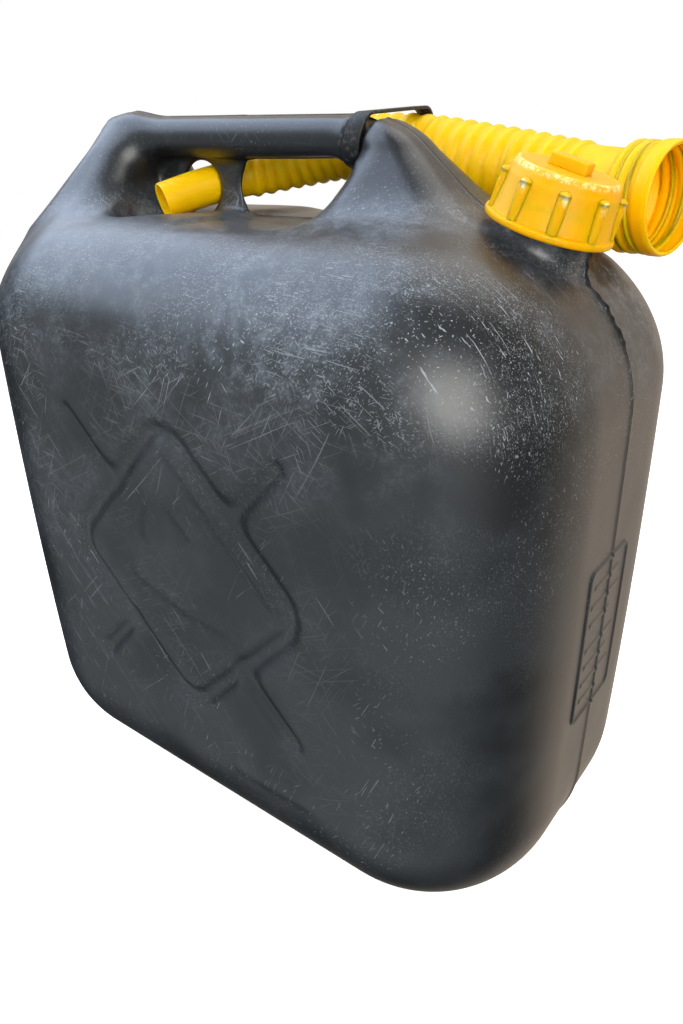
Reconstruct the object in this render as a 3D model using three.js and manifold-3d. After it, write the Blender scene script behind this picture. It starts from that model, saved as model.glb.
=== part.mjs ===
// A 20 litre blow-moulded fuel can with a screw cap and a flexible pouring spout.
// The spout is stowed behind the carrying grip: its nozzle pokes forward through a
// round hole in the web under the grip, and a strap holds its bellows to the grip.
//
// Millimetres, +Z up. The origin is the centre of the foot, +X points to the filler
// neck and -Y is the broad front face. The mould's parting plane is Y = 0.

import * as THREE from 'three';
import { mergeVertices } from 'three/addons/utils/BufferGeometryUtils.js';
import Module from 'manifold-3d';

const wasm = await Module();
wasm.setup();

// ---- Driving dimensions -------------------------------------------------------

const GAP = 0.3; // between two pieces that touch on the real object

const CAN = {
  length: 365, // outside, along X
  width: 217, // outside, along Y
  shoulder: 353, // height of the top face at mid length
  topFall: 7, // how much lower the top face is at the neck end than at the grip end
  edge: 72, // radius of the long edges
  corner: 6, // what the lower corners add to that radius in side view
  wall: 2.6,
};

const GRIP = {
  from: -122,
  to: 62,
  width: 27,
  depth: 20,
  round: 9,
  height: 390.5, // of its middle, above X = 0
  slope: -0.035, // it falls towards the neck
};

// Rows of the two columns that carry the grip: height, the column's ends along X,
// and its half width across Y, from the top down.
const LEG = [
  [404, -128, -112, 7],
  [400, -136, -105, 13],
  [392, -142, -104, 19],
  [375, -155, -104, 32],
  [358, -166, -103, 46],
  [340, -175, -102, 56],
  [322, -179, -100, 59],
  [300, -178, -98, 60],
];
const HUMP = [
  [399, 53, 60, 6],
  [396, 50, 65, 11],
  [388, 49.5, 73, 16],
  [376, 46, 88, 22],
  [366, 38, 100, 28],
  [354, 34, 113, 35],
  [310, 26, 128, 46],
];

const WEB = { thick: 3.4, hole: 13.8, holeX: -69.5, holeZ: 367.7 };

const NECK = {
  x: 138,
  z: 353, // the cap's lower edge, on the neck's axis
  tilt: THREE.MathUtils.degToRad(18), // from upright towards +X
  radius: 21,
  bore: 18.3,
  height: 14.5, // of the rim above the cap's lower edge
  root: 50, // how far the neck runs down into the shoulder
};

const THREAD = { pitch: 6, bead: 1.4, turns: 1.5, start: 2.2 };

const CAP = {
  bore: 22.9,
  radius: 26,
  topRadius: 25,
  height: 19.8,
  flange: 28,
  flangeThick: 3.6,
  ribs: 9,
  ribRadius: 2.6,
  key: [17, 8, 5], // raised bar across the top that a coin or tool turns
};

const SEAL = { outer: 22.4, inner: 17, thick: 1.5 };

// The spout's middle line from its tip to its mouth, with its outer radius.
const SPOUT = [
  [-80, -21.5, 361, 10],
  [-69.5, 0, 367.5, 10],
  [-60, 18, 371.5, 10.3],
  [-48.5, 33, 375.5, 11.4],
  [-32, 44, 380.5, 13.2],
  [-6, 52, 385.5, 14.8],
  [28, 57.5, 384, 16.6],
  [48, 60, 380, 18.4],
  [71, 62.5, 375, 19.5],
  [93, 64.5, 370.5, 20.2],
  [114, 65.5, 366, 20.6],
  [133, 64, 363, 20.6],
  [152, 61, 361.5, 20.6],
  [172, 57, 361, 20.6],
];
const SPOUT_WALL = 1.5;
// Where the spout's one moulding is divided, as distances along its middle line.
const NOZZLE_END = 62;
const FLEX_BACK = [176, 204];
const FLEX_UP = [222, 250];
const COLLAR = { length: 25, radius: 24.6, bore: 22.9, neckBore: 17.6 };
const CHANNEL = 1.2; // room round the spout where the can is hollowed for it
const CHANNEL_START = 132;
// The scoop in the shoulder that the nozzle points down into: [radius, distance].
const SCOOP = [[15, -12], [11.4, 30]];

const STRAP = {
  x: 42, // where its middle crosses the grip
  yaw: THREE.MathUtils.degToRad(11), // it leans back along the grip behind
  width: 8.5,
  thick: 1.6,
  gripRadius: 10.6, // inside, round the grip
  gripY: -3.2, // the middle of the end round the grip
  spoutRadius: 18.8, // inside, round the spout
  spoutY: 59, // the spout's middle in the strap's own plane
  spoutZ: 383.7,
  room: 0.5, // between the strap and the slot it lies in
};

// ---- Finishes -----------------------------------------------------------------

const blackPolyethylene = { color: 0x1d2023, roughness: 0.42, metalness: 0 };
const yellowPolyethylene = { color: 0xf6c800, roughness: 0.38, metalness: 0 };
const blackRubber = { color: 0x141414, roughness: 0.7, metalness: 0 };

// ---- Solids -------------------------------------------------------------------

// A closed manifold solid from any closed geometry, its faces turned outwards.
function solid(geometry) {
  const bare = geometry.clone();
  bare.deleteAttribute('normal');
  bare.deleteAttribute('uv');
  const merged = mergeVertices(bare, 1e-4);
  const position = merged.attributes.position;
  const corners = [new THREE.Vector3(), new THREE.Vector3(), new THREE.Vector3()];
  const index = Array.from(merged.index.array);
  const triangles = [];
  let volume = 0;
  for (let i = 0; i < index.length; i += 3) {
    const [a, b, c] = index.slice(i, i + 3);
    if (a === b || b === c || c === a) continue;
    [a, b, c].forEach((vertex, k) => corners[k].fromBufferAttribute(position, vertex));
    volume += corners[0].dot(corners[1].clone().cross(corners[2]));
    triangles.push([a, b, c]);
  }
  const outward = volume < 0 ? triangles.map(([a, b, c]) => [a, c, b]) : triangles;
  return new wasm.Manifold(
    new wasm.Mesh({
      numProp: 3,
      vertProperties: new Float32Array(position.array),
      triVerts: new Uint32Array(outward.flat()),
    }),
  );
}

function join(...solids) {
  return solids.reduce((whole, next) => whole.add(next));
}

function named(name, body, finish) {
  const mesh = body.getMesh();
  const geometry = new THREE.BufferGeometry();
  geometry.setAttribute('position', new THREE.BufferAttribute(mesh.vertProperties, 3));
  geometry.setIndex(new THREE.BufferAttribute(mesh.triVerts, 1));
  geometry.computeVertexNormals();
  const piece = new THREE.Mesh(geometry, new THREE.MeshStandardMaterial(finish));
  piece.name = name;
  return piece;
}

// A ring or a turned body about Z from a closed outline of [radius, height] points.
function turned(outline, sides = 24) {
  const closed = [...outline, outline[0]].map(([r, z]) => new THREE.Vector2(r, z));
  return new THREE.LatheGeometry(closed, sides).rotateX(Math.PI / 2);
}

// A plate drawn in side view, X and Z, centred on Y = 0.
function sidePlate(shape, thick, curveSegments = 6, bevel = 0) {
  const options = { depth: thick, curveSegments, bevelEnabled: bevel > 0 };
  if (bevel > 0) {
    Object.assign(options, { bevelSize: bevel, bevelThickness: bevel, bevelSegments: 6 });
  }
  const plate = new THREE.ExtrudeGeometry(shape, options);
  return plate.translate(0, 0, -thick / 2).rotateX(Math.PI / 2);
}

// A polygon with every corner rounded.
function rounded(points, radius) {
  const shape = new THREE.Shape();
  const count = points.length;
  points.forEach((corner, i) => {
    const here = new THREE.Vector2(...corner);
    const before = new THREE.Vector2(...points[(i + count - 1) % count]);
    const after = new THREE.Vector2(...points[(i + 1) % count]);
    const enter = before.sub(here).setLength(radius).add(here);
    const leave = after.sub(here).setLength(radius).add(here);
    if (i === 0) shape.moveTo(enter.x, enter.y);
    else shape.lineTo(enter.x, enter.y);
    shape.quadraticCurveTo(here.x, here.y, leave.x, leave.y);
  });
  shape.closePath();
  return shape;
}

// A column through level rows of [height, end, end, half width], from the top down.
function column(rows, inset = 0, sides = 24) {
  const squareness = 0.65; // 1 is an ellipse, 0 a rectangle
  const geometry = new THREE.CylinderGeometry(1, 1, 1, sides, rows.length - 1);
  const position = geometry.attributes.position;
  const bent = (value) => Math.sign(value) * Math.abs(value) ** squareness;
  for (let i = 0; i < position.count; i += 1) {
    const row = Math.round((0.5 - position.getY(i)) * (rows.length - 1));
    const [height, low, high, half] = rows[row];
    const x = (low + high) / 2 + bent(position.getX(i)) * ((high - low) / 2 - inset);
    const y = -bent(position.getZ(i)) * (half - inset);
    position.setXYZ(i, x, y, row === rows.length - 1 ? height : height - inset);
  }
  return geometry;
}

// ---- The can ------------------------------------------------------------------

// The can's barrel, or with an inset the space inside it.
function barrel(inset = 0) {
  const edge = CAN.edge - inset;
  const half = CAN.length / 2 - CAN.edge;
  const top = CAN.shoulder - CAN.edge;
  const outline = rounded(
    [
      [-half, CAN.edge],
      [half, CAN.edge],
      [half, top - CAN.topFall / 2],
      [-half, top + CAN.topFall / 2],
    ],
    CAN.corner,
  );
  return sidePlate(outline, CAN.width - 2 * CAN.edge, 5, edge);
}

function gripBar(inset = 0) {
  const [y, z] = [GRIP.width / 2 - inset, GRIP.depth / 2 - inset];
  const section = rounded([[-y, -z], [y, -z], [y, z], [-y, z]], GRIP.round - inset);
  const bar = new THREE.ExtrudeGeometry(section, {
    depth: GRIP.to - GRIP.from,
    curveSegments: 4,
    bevelEnabled: false,
  });
  const alongX = new THREE.Matrix4().makeBasis(
    new THREE.Vector3(0, 1, 0),
    new THREE.Vector3(0, 0, 1),
    new THREE.Vector3(1, 0, 0),
  );
  bar.applyMatrix4(alongX).translate(GRIP.from, 0, 0);
  return bar.rotateY(-Math.atan(GRIP.slope)).translate(0, 0, GRIP.height);
}

// The thin web between the grip and the shoulder, ending in the post beside the
// finger window, and pierced by the round hole for the nozzle.
function web() {
  const shape = new THREE.Shape();
  shape.moveTo(-112, 345);
  shape.lineTo(-24, 345);
  shape.lineTo(-26, 351);
  shape.quadraticCurveTo(-41, 357, -41, 369);
  shape.quadraticCurveTo(-38, 381, -24, 384);
  shape.lineTo(-24, 388);
  shape.lineTo(-112, 388);
  shape.closePath();
  const hole = new THREE.Path();
  hole.absarc(WEB.holeX, WEB.holeZ, WEB.hole, 0, 2 * Math.PI, true);
  shape.holes.push(hole);
  return sidePlate(shape, WEB.thick, 6);
}

// From the neck's own frame, Z along its axis from the cap's lower edge.
const neckPlace = new THREE.Matrix4()
  .makeTranslation(NECK.x, 0, NECK.z)
  .multiply(new THREE.Matrix4().makeRotationY(NECK.tilt));

class Helix extends THREE.Curve {
  constructor(radius, start, turns, phase) {
    super();
    Object.assign(this, { radius, start, turns, phase });
  }

  getPoint(t, target = new THREE.Vector3()) {
    const angle = this.phase + t * this.turns * 2 * Math.PI;
    return target.set(
      this.radius * Math.cos(angle),
      this.radius * Math.sin(angle),
      this.start + t * this.turns * THREAD.pitch,
    );
  }
}

// One right-handed thread bead, its round section centred on the given radius.
function threadBead(radius, start, turns, phase = 0) {
  const section = new THREE.Shape().absarc(0, 0, THREAD.bead, 0, 2 * Math.PI, false);
  return new THREE.ExtrudeGeometry(section, {
    steps: Math.round(turns * 20),
    curveSegments: 3,
    bevelEnabled: false,
    extrudePath: new Helix(radius, start, turns, phase),
  });
}

function neckTube() {
  const post = turned([
    [0, -NECK.root],
    [NECK.radius, -NECK.root],
    [NECK.radius, NECK.height - 1],
    [NECK.radius - 1, NECK.height],
    [0, NECK.height],
  ], 32);
  const bead = threadBead(NECK.radius, THREAD.start, THREAD.turns);
  return join(
    solid(post.applyMatrix4(neckPlace)),
    solid(bead.applyMatrix4(neckPlace)),
  );
}

function neckBore() {
  const bore = turned([
    [0, -NECK.root],
    [NECK.bore, -NECK.root],
    [NECK.bore, NECK.height + 1],
    [0, NECK.height + 1],
  ], 32);
  return solid(bore.applyMatrix4(neckPlace));
}

// ---- The spout's middle line ----------------------------------------------------

const spoutLine = new THREE.CatmullRomCurve3(
  SPOUT.map(([x, y, z]) => new THREE.Vector3(x, y, z)),
  false,
  'centripetal',
);
spoutLine.arcLengthDivisions = 600;
const spoutLength = spoutLine.getLength();

// The outer radius at a distance from the tip, by straight steps between the points.
const spoutStations = SPOUT.map((_, i) => {
  const share = i / (SPOUT.length - 1);
  const lengths = spoutLine.getLengths();
  return lengths[Math.round(share * (lengths.length - 1))];
});

function spoutRadius(distance) {
  const after = spoutStations.findIndex((station) => station >= distance);
  if (after <= 0) return after === 0 ? SPOUT[0][3] : SPOUT.at(-1)[3];
  const share = (distance - spoutStations[after - 1])
    / (spoutStations[after] - spoutStations[after - 1]);
  return THREE.MathUtils.lerp(SPOUT[after - 1][3], SPOUT[after][3], share);
}

// Carries a body made about Z, with Z its distance from the tip, onto the line.
function alongSpout(geometry) {
  const position = geometry.attributes.position;
  const up = new THREE.Vector3(0, 0, 1);
  const place = new THREE.Vector3();
  for (let i = 0; i < position.count; i += 1) {
    place.fromBufferAttribute(position, i);
    const share = THREE.MathUtils.clamp(place.z / spoutLength, 0, 1);
    const forward = spoutLine.getTangentAt(share);
    const side = up.clone().cross(forward).normalize();
    const above = forward.clone().cross(side);
    const point = spoutLine.getPointAt(share)
      .addScaledVector(side, place.x)
      .addScaledVector(above, place.y)
      .addScaledVector(forward, place.z - share * spoutLength);
    position.setXYZ(i, point.x, point.y, point.z);
  }
  return geometry;
}

function stations(from, to, step) {
  const count = Math.max(1, Math.round((to - from) / step));
  return Array.from({ length: count + 1 }, (_, i) => from + ((to - from) * i) / count);
}

// A length of the spout's tube, open at both ends.
function tube(from, to, step = 9, sides = 20) {
  const rows = stations(from, to, step);
  const outside = rows.map((z) => [spoutRadius(z), z]);
  const inside = rows.map((z) => [spoutRadius(z) - SPOUT_WALL, z]).reverse();
  return alongSpout(turned([...outside, ...inside], sides));
}

// The room that the can leaves round the spout, and more round the hollow inside.
function channel(grow) {
  const rows = stations(CHANNEL_START, spoutLength - COLLAR.length, 12);
  const outline = rows.map((z) => [spoutRadius(z) + CHANNEL + grow, z]);
  return alongSpout(turned([[0, rows[0]], ...outline, [0, rows.at(-1)]], 20));
}

// The hollow that the nozzle points down into, in front of the web.
function scoop(grow) {
  const outline = SCOOP.map(([radius, z]) => [radius + grow, z]);
  const [first, last] = [SCOOP[0][1] - grow, SCOOP.at(-1)[1]];
  return alongSpout(turned([[0, first], [outline[0][0], first], outline[1], [0, last]], 20));
}

// ---- The strap ------------------------------------------------------------------

// A loop with two round ends joined by tangents, drawn across the grip and the spout.
function loopPath(path, gripRadius, spoutRadiusInside) {
  const grip = new THREE.Vector2(STRAP.gripY, 0);
  const gripAxis = GRIP.height + GRIP.slope * STRAP.x;
  const spout = new THREE.Vector2(STRAP.spoutY, STRAP.spoutZ - gripAxis);
  const between = spout.clone().sub(grip);
  const turn = Math.acos((gripRadius - spoutRadiusInside) / between.length());
  const upper = between.angle() + turn;
  const lower = between.angle() - turn;
  path.absarc(spout.x, spout.y, spoutRadiusInside, lower, upper, false);
  path.absarc(grip.x, grip.y, gripRadius, upper, lower + 2 * Math.PI, false);
  path.closePath();
  return path;
}

// The strap's band between an inner and an outer distance from its inside face.
function strapBand(inner, outer, width) {
  const shape = loopPath(new THREE.Shape(), STRAP.gripRadius + outer, STRAP.spoutRadius + outer);
  const hole = loopPath(new THREE.Path(), STRAP.gripRadius + inner, STRAP.spoutRadius + inner);
  shape.holes.push(hole);
  const band = new THREE.ExtrudeGeometry(shape, {
    depth: width,
    curveSegments: 10,
    bevelEnabled: false,
  }).translate(0, 0, -width / 2);
  const acrossGrip = new THREE.Matrix4().makeBasis(
    new THREE.Vector3(-Math.sin(STRAP.yaw), Math.cos(STRAP.yaw), 0),
    new THREE.Vector3(0, 0, 1),
    new THREE.Vector3(Math.cos(STRAP.yaw), Math.sin(STRAP.yaw), 0),
  );
  acrossGrip.setPosition(STRAP.x, 0, GRIP.height + GRIP.slope * STRAP.x);
  return band.applyMatrix4(acrossGrip);
}

// ---- Pieces ---------------------------------------------------------------------

function canBody() {
  const outside = join(
    solid(barrel()),
    solid(column(LEG)),
    solid(column(HUMP)),
    solid(gripBar()),
    solid(web()),
    neckTube(),
  );
  const inside = join(
    solid(barrel(CAN.wall)),
    solid(column(LEG, CAN.wall)),
    solid(column(HUMP, CAN.wall)),
    solid(gripBar(CAN.wall)),
    neckBore(),
  );
  const slot = solid(strapBand(-STRAP.room, STRAP.thick + STRAP.room, STRAP.width + 1));
  const slotWall = solid(
    strapBand(
      -STRAP.room - CAN.wall,
      STRAP.thick + STRAP.room + CAN.wall,
      STRAP.width + 1 + 2 * CAN.wall,
    ),
  );
  const hollow = inside
    .subtract(slotWall)
    .subtract(solid(channel(CAN.wall)))
    .subtract(solid(scoop(CAN.wall)));
  // Only the part of the hollow that the neck opens into is kept.
  const opened = hollow.decompose().sort((a, b) => b.volume() - a.volume())[0];
  return outside
    .subtract(slot)
    .subtract(solid(channel(0)))
    .subtract(solid(scoop(0)))
    .subtract(opened);
}

function screwCap() {
  const plate = NECK.height + SEAL.thick + 2 * GAP;
  const lowest = -0.5;
  const shell = solid(turned([
    [CAP.bore, lowest],
    [CAP.flange - 0.8, lowest],
    [CAP.flange, lowest + 1],
    [CAP.flange, lowest + CAP.flangeThick - 1],
    [CAP.flange - 0.8, lowest + CAP.flangeThick],
    [CAP.radius, lowest + CAP.flangeThick],
    [CAP.topRadius, CAP.height - 1.4],
    [CAP.topRadius - 1.4, CAP.height],
    [0, CAP.height],
    [0, plate],
    [CAP.bore, plate],
  ], 36));
  const ribHeight = CAP.height - 3;
  const ribs = Array.from({ length: CAP.ribs }, (_, i) => {
    const angle = (2 * Math.PI * i) / CAP.ribs;
    const rib = new THREE.CylinderGeometry(CAP.ribRadius, CAP.ribRadius, ribHeight, 8);
    rib.rotateX(Math.PI / 2);
    rib.translate(CAP.topRadius - 0.9, 0, 0.5 + ribHeight / 2).rotateZ(angle);
    return solid(rib);
  });
  const key = new THREE.BoxGeometry(...CAP.key);
  key.translate(0, 0, CAP.height + CAP.key[2] / 2 - 1);
  const inside = solid(turned([
    [0, lowest - 1],
    [CAP.bore, lowest - 1],
    [CAP.bore, plate],
    [0, plate],
  ], 36));
  // Half a turn round from the neck's bead, so it lies midway between its turns.
  const bead = solid(threadBead(CAP.bore, THREAD.start, THREAD.turns, Math.PI));
  return join(shell, ...ribs, solid(key)).subtract(inside).add(bead);
}

function sealRing(from) {
  return turned([
    [SEAL.inner, from],
    [SEAL.outer, from],
    [SEAL.outer, from + SEAL.thick],
    [SEAL.inner, from + SEAL.thick],
  ], 28);
}

const collarStart = spoutLength - COLLAR.length;

// The plain end of the spout and the threaded collar that screws onto the neck.
function spoutCollar() {
  const from = FLEX_UP[1] + GAP;
  const floor = collarStart + 2;
  const outline = [
    ...stations(from, collarStart - 2, 9).map((z) => [spoutRadius(z), z]),
    [COLLAR.radius, collarStart + 1],
    [COLLAR.radius, spoutLength],
    [COLLAR.bore, spoutLength],
    [COLLAR.bore, floor],
    [COLLAR.neckBore, floor],
    ...stations(from, floor - 1, 9).map((z) => [spoutRadius(z) - SPOUT_WALL, z]).reverse(),
  ];
  const shell = solid(alongSpout(turned(outline, 28)));
  const bead = threadBead(COLLAR.bore, floor + 6, THREAD.turns);
  return shell.add(solid(alongSpout(bead)));
}

const group = new THREE.Group();
group.name = 'fuel_can_with_spout';

group.add(named('can_body', canBody(), blackPolyethylene));

const neckGroup = new THREE.Group();
neckGroup.applyMatrix4(neckPlace);
neckGroup.add(named('screw_cap', screwCap(), yellowPolyethylene));
neckGroup.add(named('cap_gasket', solid(sealRing(NECK.height + GAP)), blackRubber));
group.add(neckGroup);

const strap = solid(strapBand(0, STRAP.thick, STRAP.width));
group.add(named('spout_strap', strap, blackRubber));

// The spout is one flexible moulding, divided where it bends.
const spoutPieces = [
  ['spout_nozzle', 0, NOZZLE_END],
  ['spout_bellows_front', NOZZLE_END + GAP, FLEX_BACK[0]],
  ['spout_bellows_bend_back', FLEX_BACK[0] + GAP, FLEX_BACK[1]],
  ['spout_bellows_middle', FLEX_BACK[1] + GAP, FLEX_UP[0]],
  ['spout_bellows_bend_up', FLEX_UP[0] + GAP, FLEX_UP[1]],
];
spoutPieces.forEach(([name, from, to]) => {
  group.add(named(name, solid(tube(from, to)), yellowPolyethylene));
});
group.add(named('spout_collar', spoutCollar(), yellowPolyethylene));
const spoutSeal = alongSpout(sealRing(collarStart + 2 + GAP));
group.add(named('spout_gasket', solid(spoutSeal), blackRubber));

export default group;
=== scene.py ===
"""Looks for a 20 litre blow-moulded fuel can: shell, screw cap, stowed bellows spout and strap.

The shape functions work in millimetres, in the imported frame's axes: +X towards the filler neck,
-Y the broad front face, +Z up, with the mould's parting plane at Y = 0. Meshes are in metres.
"""

import functools
import math

import bmesh
import bpy
import numpy as np
from bpy.props import FloatProperty, IntProperty, PointerProperty, StringProperty
from mathutils import Matrix, Vector


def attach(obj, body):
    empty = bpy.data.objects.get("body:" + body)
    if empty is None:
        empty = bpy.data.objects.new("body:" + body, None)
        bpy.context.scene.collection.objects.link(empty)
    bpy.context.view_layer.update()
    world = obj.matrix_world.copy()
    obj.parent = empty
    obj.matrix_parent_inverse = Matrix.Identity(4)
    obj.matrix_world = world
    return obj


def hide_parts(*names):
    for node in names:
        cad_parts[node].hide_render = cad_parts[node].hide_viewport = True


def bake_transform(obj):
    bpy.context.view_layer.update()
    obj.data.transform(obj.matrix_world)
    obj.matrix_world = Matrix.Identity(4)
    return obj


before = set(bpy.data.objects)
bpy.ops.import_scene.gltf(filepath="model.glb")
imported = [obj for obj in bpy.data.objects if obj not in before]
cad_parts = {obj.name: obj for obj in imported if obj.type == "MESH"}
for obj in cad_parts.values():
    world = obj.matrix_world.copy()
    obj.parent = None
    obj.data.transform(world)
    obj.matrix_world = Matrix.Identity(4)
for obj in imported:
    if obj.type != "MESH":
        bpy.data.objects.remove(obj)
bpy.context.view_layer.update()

bl_info = {
    "name": "Fuel can with stowed spout",
    "version": (1, 0, 0),
    "blender": (4, 5, 0),
    "location": "View3D > Sidebar > Fuel can",
    "description": "Builds the can's shell, cap, bellows spout, strap and studio",
    "category": "Add Mesh",
}

MM = 0.001
TURN = 2 * math.pi

# The filler neck: the cap's lower edge on the neck's axis, and that axis, leaning to +X.
NECK_FOOT = np.array([138.0, 0.0, 353.0])
NECK_TILT = math.radians(18)
NECK_AXIS = np.array([math.sin(NECK_TILT), 0.0, math.cos(NECK_TILT)])
NECK_ALONG = np.array([math.cos(NECK_TILT), 0.0, -math.sin(NECK_TILT)])
NECK_RADIUS = 21.0
NECK_BORE = 18.3
# The cap's and the neck's thread: how high it starts, its turns, and its pitch.
THREAD = (2.2, 1.5, 6.0)

# The spout's middle line from its tip to its mouth, with its outer radius.
SPOUT_LINE = [
    (-80, -21.5, 361, 10), (-69.5, 0, 367.5, 10), (-60, 18, 371.5, 10.3),
    (-48.5, 33, 375.5, 11.4), (-32, 44, 380.5, 13.2), (-6, 52, 385.5, 14.8),
    (28, 57.5, 384, 16.6), (48, 60, 380, 18.4), (71, 62.5, 375, 19.5),
    (93, 64.5, 370.5, 20.2), (114, 65.5, 366, 20.6), (133, 64, 363, 20.6),
    (152, 61, 361.5, 20.6), (172, 57, 361, 20.6),
]
# Distances along that line, from the tip.
NOZZLE_END = 50
BEND_BACK = (176, 204)
SPOUT_CUT = 212
BEND_UP = (222, 250)
PLAIN_START = 251
COLLAR_LENGTH = 25

CAP_BORE = 22.9
CAP_BAR = (17, 8, 6.4)

GRIP_HEIGHT = 390.5
GRIP_SLOPE = -0.035
GRIP_HALF_WIDTH = 13.5
GRIP_HALF_DEPTH = 10
GRIP_ROUND = 9.5

# The strap crosses the grip at STRAP_X and turns back a little behind it.
STRAP_X = 42.0
STRAP_YAW = math.radians(11)
STRAP_LEAN = 0.30  # how much further to +X the strap lies for each millimetre up
STRAP_LEVEL = GRIP_HEIGHT + GRIP_SLOPE * STRAP_X  # the grip's middle, where the strap crosses it
STRAP_ROUND_SPOUT = (59, 383.7, 19.3)  # the spout's middle, Y and Z, and the loop's inside radius

CAMERA_PLACE = (0.2801, -0.3266, 0.3828)
CAMERA_PITCH, CAMERA_ROLL, CAMERA_YAW = 0.434, 0.026, 0.666


# ---- Properties ---------------------------------------------------------------


def length(name, description, default):
    """A size in metres, shown in the scene's units."""
    return FloatProperty(name=name, description=description, default=default,
                         subtype="DISTANCE", unit="LENGTH", precision=4)


def colour(name, description, default):
    """An sRGB hex colour."""
    return StringProperty(name=name, description=description, default=default)


class CanSizes(bpy.types.PropertyGroup):
    """Sizes and colours of the blow-moulded shell."""

    length: length("Length", "Along X at the base of the bulge", 0.360)
    width: length("Width", "Along Y at the base of the bulge", 0.2115)
    shoulder: length("Shoulder height", "Height of the top face at mid length", 0.353)
    upright_edge: length("Upright edge", "Radius of the four upright edges", 0.076)
    lower_edge: length("Lower edge", "Radius round the foot", 0.078)
    upper_edge: length("Upper edge", "Radius round the shoulder", 0.065)
    bulge: length("Bulge", "How far the sides stand out at mid height", 0.0027)
    taper: length("Taper", "How much wider the top is than the foot", 0.0034)
    seam: length("Seam", "Height of the flash left on the parting line", 0.0008)
    groove: length("Groove depth", "Depth of the stiffening groove in the broad faces", 0.0036)
    plastic: colour("Plastic", "Carbon black filled polyethylene", "#111315")
    # The whitish colour of rubbing, which also paints the sheen on the shoulder and the front.
    rubbed_haze_and_sheen: colour("Haze", "Polyethylene whitened by rubbing", "#8C949C")
    scratch: colour("Scratch", "Fresh scratches", "#C9CFD4")


class CapSizes(bpy.types.PropertyGroup):
    """Sizes and colours of the screw cap."""

    flange: length("Flange radius", "Radius of the lower rim", 0.028)
    foot_radius: length("Wall radius", "Radius of the wall above the rim", 0.0258)
    top_radius: length("Top radius", "Radius of the wall under the top edge", 0.0240)
    height: length("Height", "Height of the top above the lower edge", 0.0234)
    shoulder: length("Shoulder", "Height where the wall turns in to the top", 0.0186)
    crown: length("Crown radius", "Radius of the flat top", 0.0215)
    rib_radius: length("Rib radius", "Radius of each half-round rib", 0.0026)
    ribs: IntProperty(name="Ribs", description="Number of grip ribs", default=9, min=3)
    thread: length("Thread bead", "Radius of the thread's round section", 0.0014)
    plastic: colour("Plastic", "Pigmented polyethylene", "#E9A400")
    worn: colour("Worn", "Rubbed edges", "#F7E7B0")


class SpoutSizes(bpy.types.PropertyGroup):
    """Sizes and colours of the flexible pouring spout."""

    wall: length("Wall", "Thickness of the moulding", 0.0015)
    pitch: length("Pitch", "Distance between two bellows ridges", 0.0079)
    ridge: length("Ridge", "Height of a bellows ridge", 0.0014)
    collar_radius: length("Collar radius", "Outer radius of the threaded collar", 0.0246)
    sides: IntProperty(name="Sides", description="Faces round the tube", default=72, min=12)
    plastic: colour("Plastic", "Pigmented polyethylene", "#FFB800")


class StrapSizes(bpy.types.PropertyGroup):
    """Sizes and colours of the rubber parts."""

    width: length("Width", "Width of the strap", 0.0085)
    thick: length("Thickness", "Thickness of the strap", 0.0016)
    rubber: colour("Rubber", "Black EPDM rubber", "#101112")
    scuffed: colour("Scuffed", "Rubber rubbed grey", "#5F6468")


class StudioSizes(bpy.types.PropertyGroup):
    """The studio round the object."""

    floor: colour("Floor", "Pale floor and backdrop", "#F2F2F0")
    lens: FloatProperty(name="Lens", description="Focal length on a 36 mm side",
                        default=27.14, subtype="DISTANCE_CAMERA")
    key: FloatProperty(name="Key light", description="Power of the large overhead light",
                       default=28.0, subtype="POWER", unit="POWER")
    sky: FloatProperty(name="Sky", description="Strength of the even light all round", default=1.1)


# ---- Small helpers --------------------------------------------------------------


def linear(code):
    """An sRGB hex colour as a linear RGBA value."""
    channels = [int(code[i:i + 2], 16) / 255 for i in (1, 3, 5)]
    return (*(c / 12.92 if c <= 0.04045 else ((c + 0.055) / 1.055) ** 2.4 for c in channels), 1.0)


def add_node(tree, kind, inputs=(), **settings):
    """Adds one node: settings are its properties, inputs pairs of a socket and a value or link."""
    node = tree.nodes.new(kind)
    for name, value in settings.items():
        setattr(node, name, value)
    for key, value in inputs:
        if isinstance(value, bpy.types.NodeSocket):
            tree.links.new(value, node.inputs[key])
        else:
            node.inputs[key].default_value = value
    return node


def mesh_object(name, points, faces, *materials):
    """A smooth mesh object at the origin from points in millimetres."""
    mesh = bpy.data.meshes.new(name)
    corners = [list(map(int, face)) for face in faces]
    mesh.from_pydata((np.asarray(points, float) * MM).tolist(), [], corners)
    mesh.validate()
    mesh.shade_smooth()
    for material in materials:
        mesh.materials.append(material)
    made = bpy.data.objects.new(name, mesh)
    bpy.context.scene.collection.objects.link(made)
    return made


def sharpen(piece, degrees=38):
    """Keeps the edges that turn by more than an angle crisp."""
    piece.data.set_sharp_from_angle(angle=math.radians(degrees))


def turn_outwards(piece):
    """Merges doubles and points every face out of its closed shell."""
    shell = bmesh.new()
    shell.from_mesh(piece.data)
    bmesh.ops.remove_doubles(shell, verts=shell.verts, dist=1e-6)
    bmesh.ops.recalc_face_normals(shell, faces=shell.faces)
    shell.to_mesh(piece.data)
    shell.free()


def apply_modifiers(piece):
    """Turns what the modifiers make into the piece's plain mesh."""
    graph = bpy.context.evaluated_depsgraph_get()
    made = bpy.data.meshes.new_from_object(piece.evaluated_get(graph))
    made.name = piece.name
    if piece.type != "MESH":
        name = piece.name
        bpy.data.objects.remove(piece)
        piece = bpy.data.objects.new(name, made)
        bpy.context.scene.collection.objects.link(piece)
        return piece
    piece.modifiers.clear()
    piece.data = made
    return piece


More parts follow.
